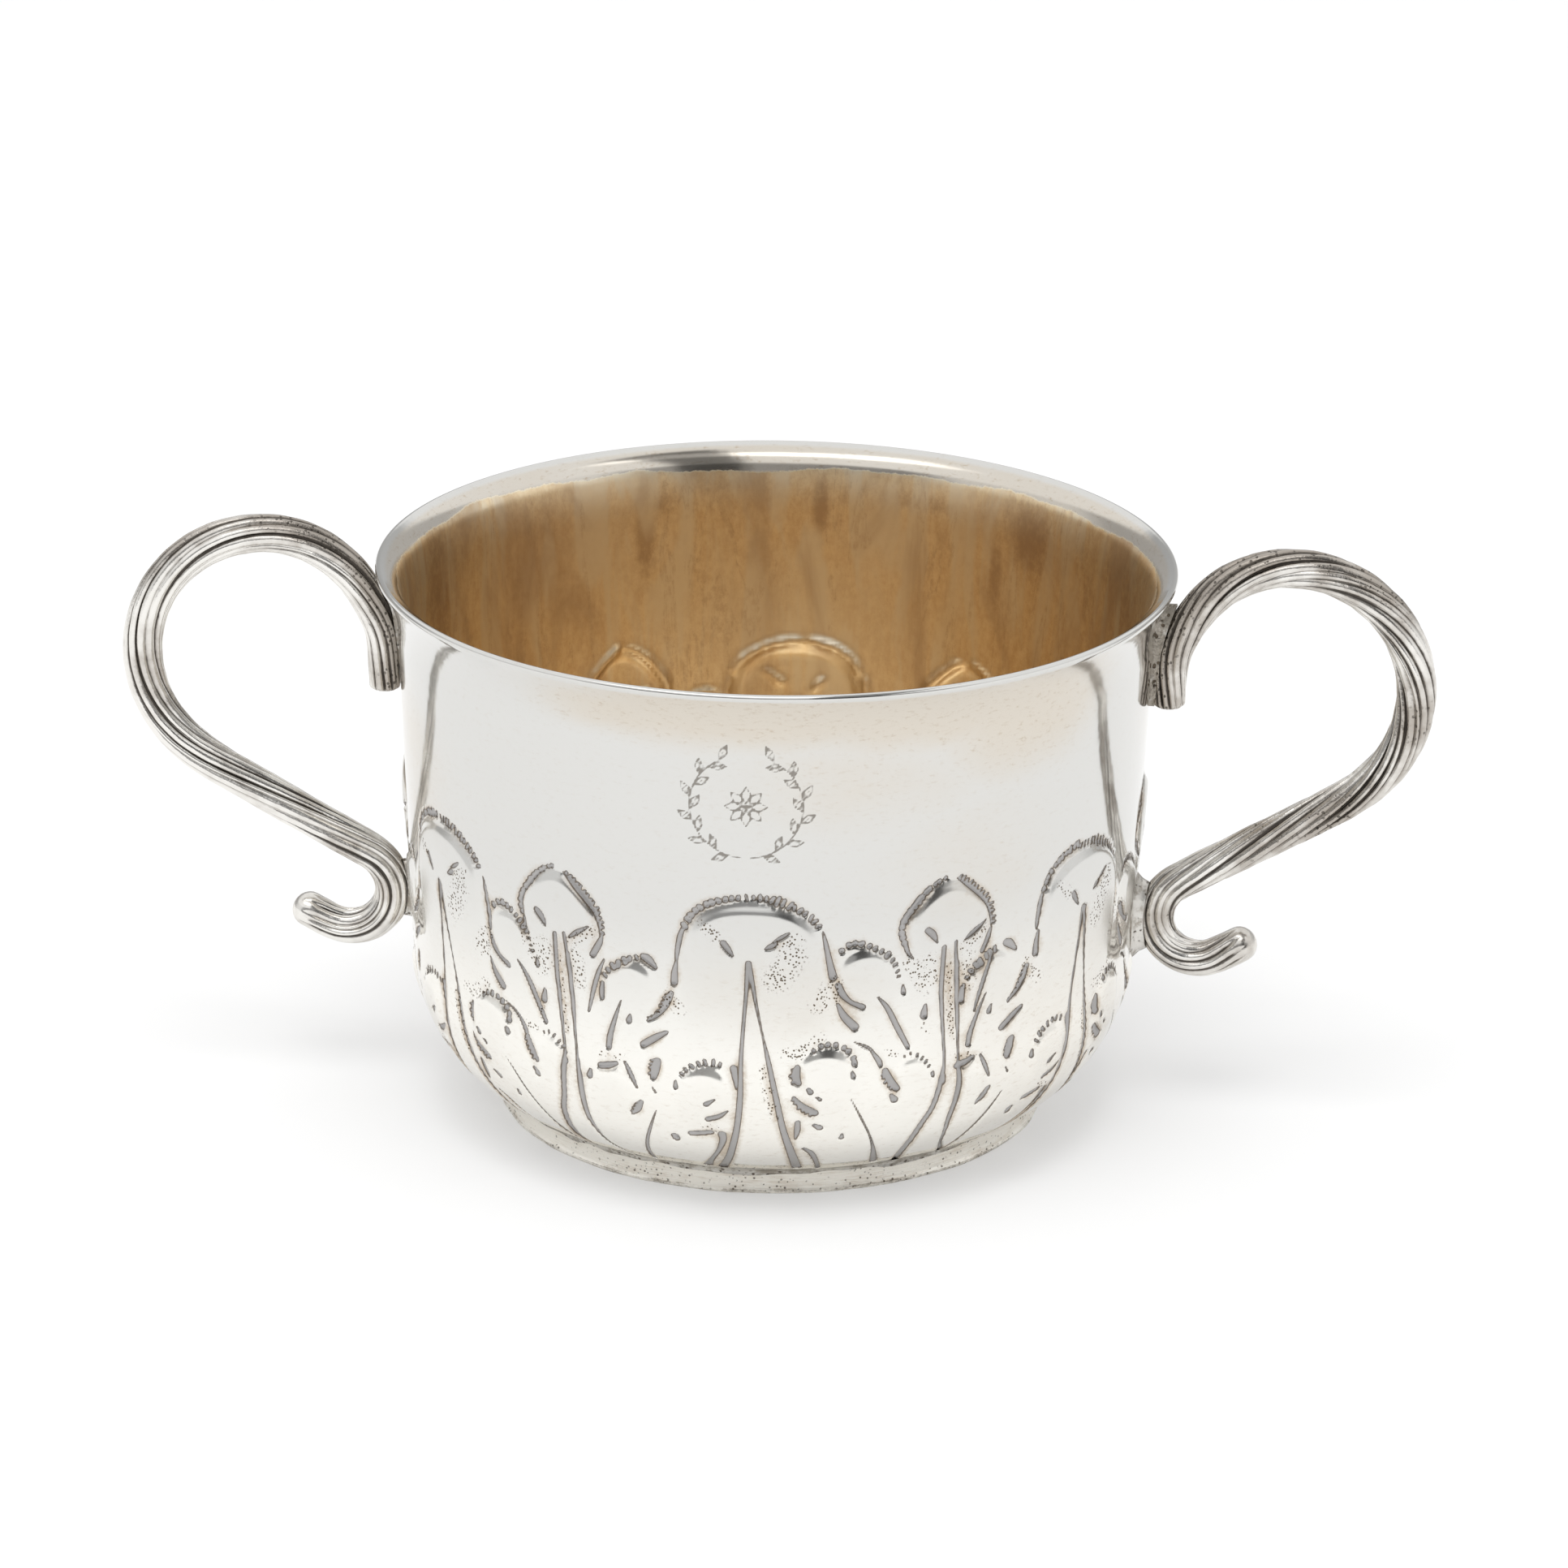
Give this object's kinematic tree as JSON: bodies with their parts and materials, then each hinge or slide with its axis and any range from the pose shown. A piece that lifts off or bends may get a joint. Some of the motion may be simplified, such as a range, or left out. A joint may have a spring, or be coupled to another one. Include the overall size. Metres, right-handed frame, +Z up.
{
  "type": "caudle cup",
  "caption": "Round silver drinking cup with a chased leaf band, gilded inside, low foot ring and a reeded scroll handle each side.",
  "frame": {"origin": "on the table, under the middle of the bowl", "axes": "+Z up, a handle along +X and another along -X, +Y away from the picture's viewer"},
  "size_m": [0.164, 0.099, 0.0742],
  "materials": {
    "silver": "worn polished silver, tarnished in the chasing, gilded inside below the lip",
    "tarnished_silver": "dull tarnished silver",
    "solder": "rough grey silver solder"
  },
  "bodies": {
    "root": {"bowl": "silver", "foot_ring": "tarnished_silver", "foot_solder": "solder", "left_handle": "silver", "right_handle": "silver", "left_upper_solder": "solder", "right_upper_solder": "solder", "left_lower_solder": "solder", "right_lower_solder": "solder"}
  },
  "joints": []
}
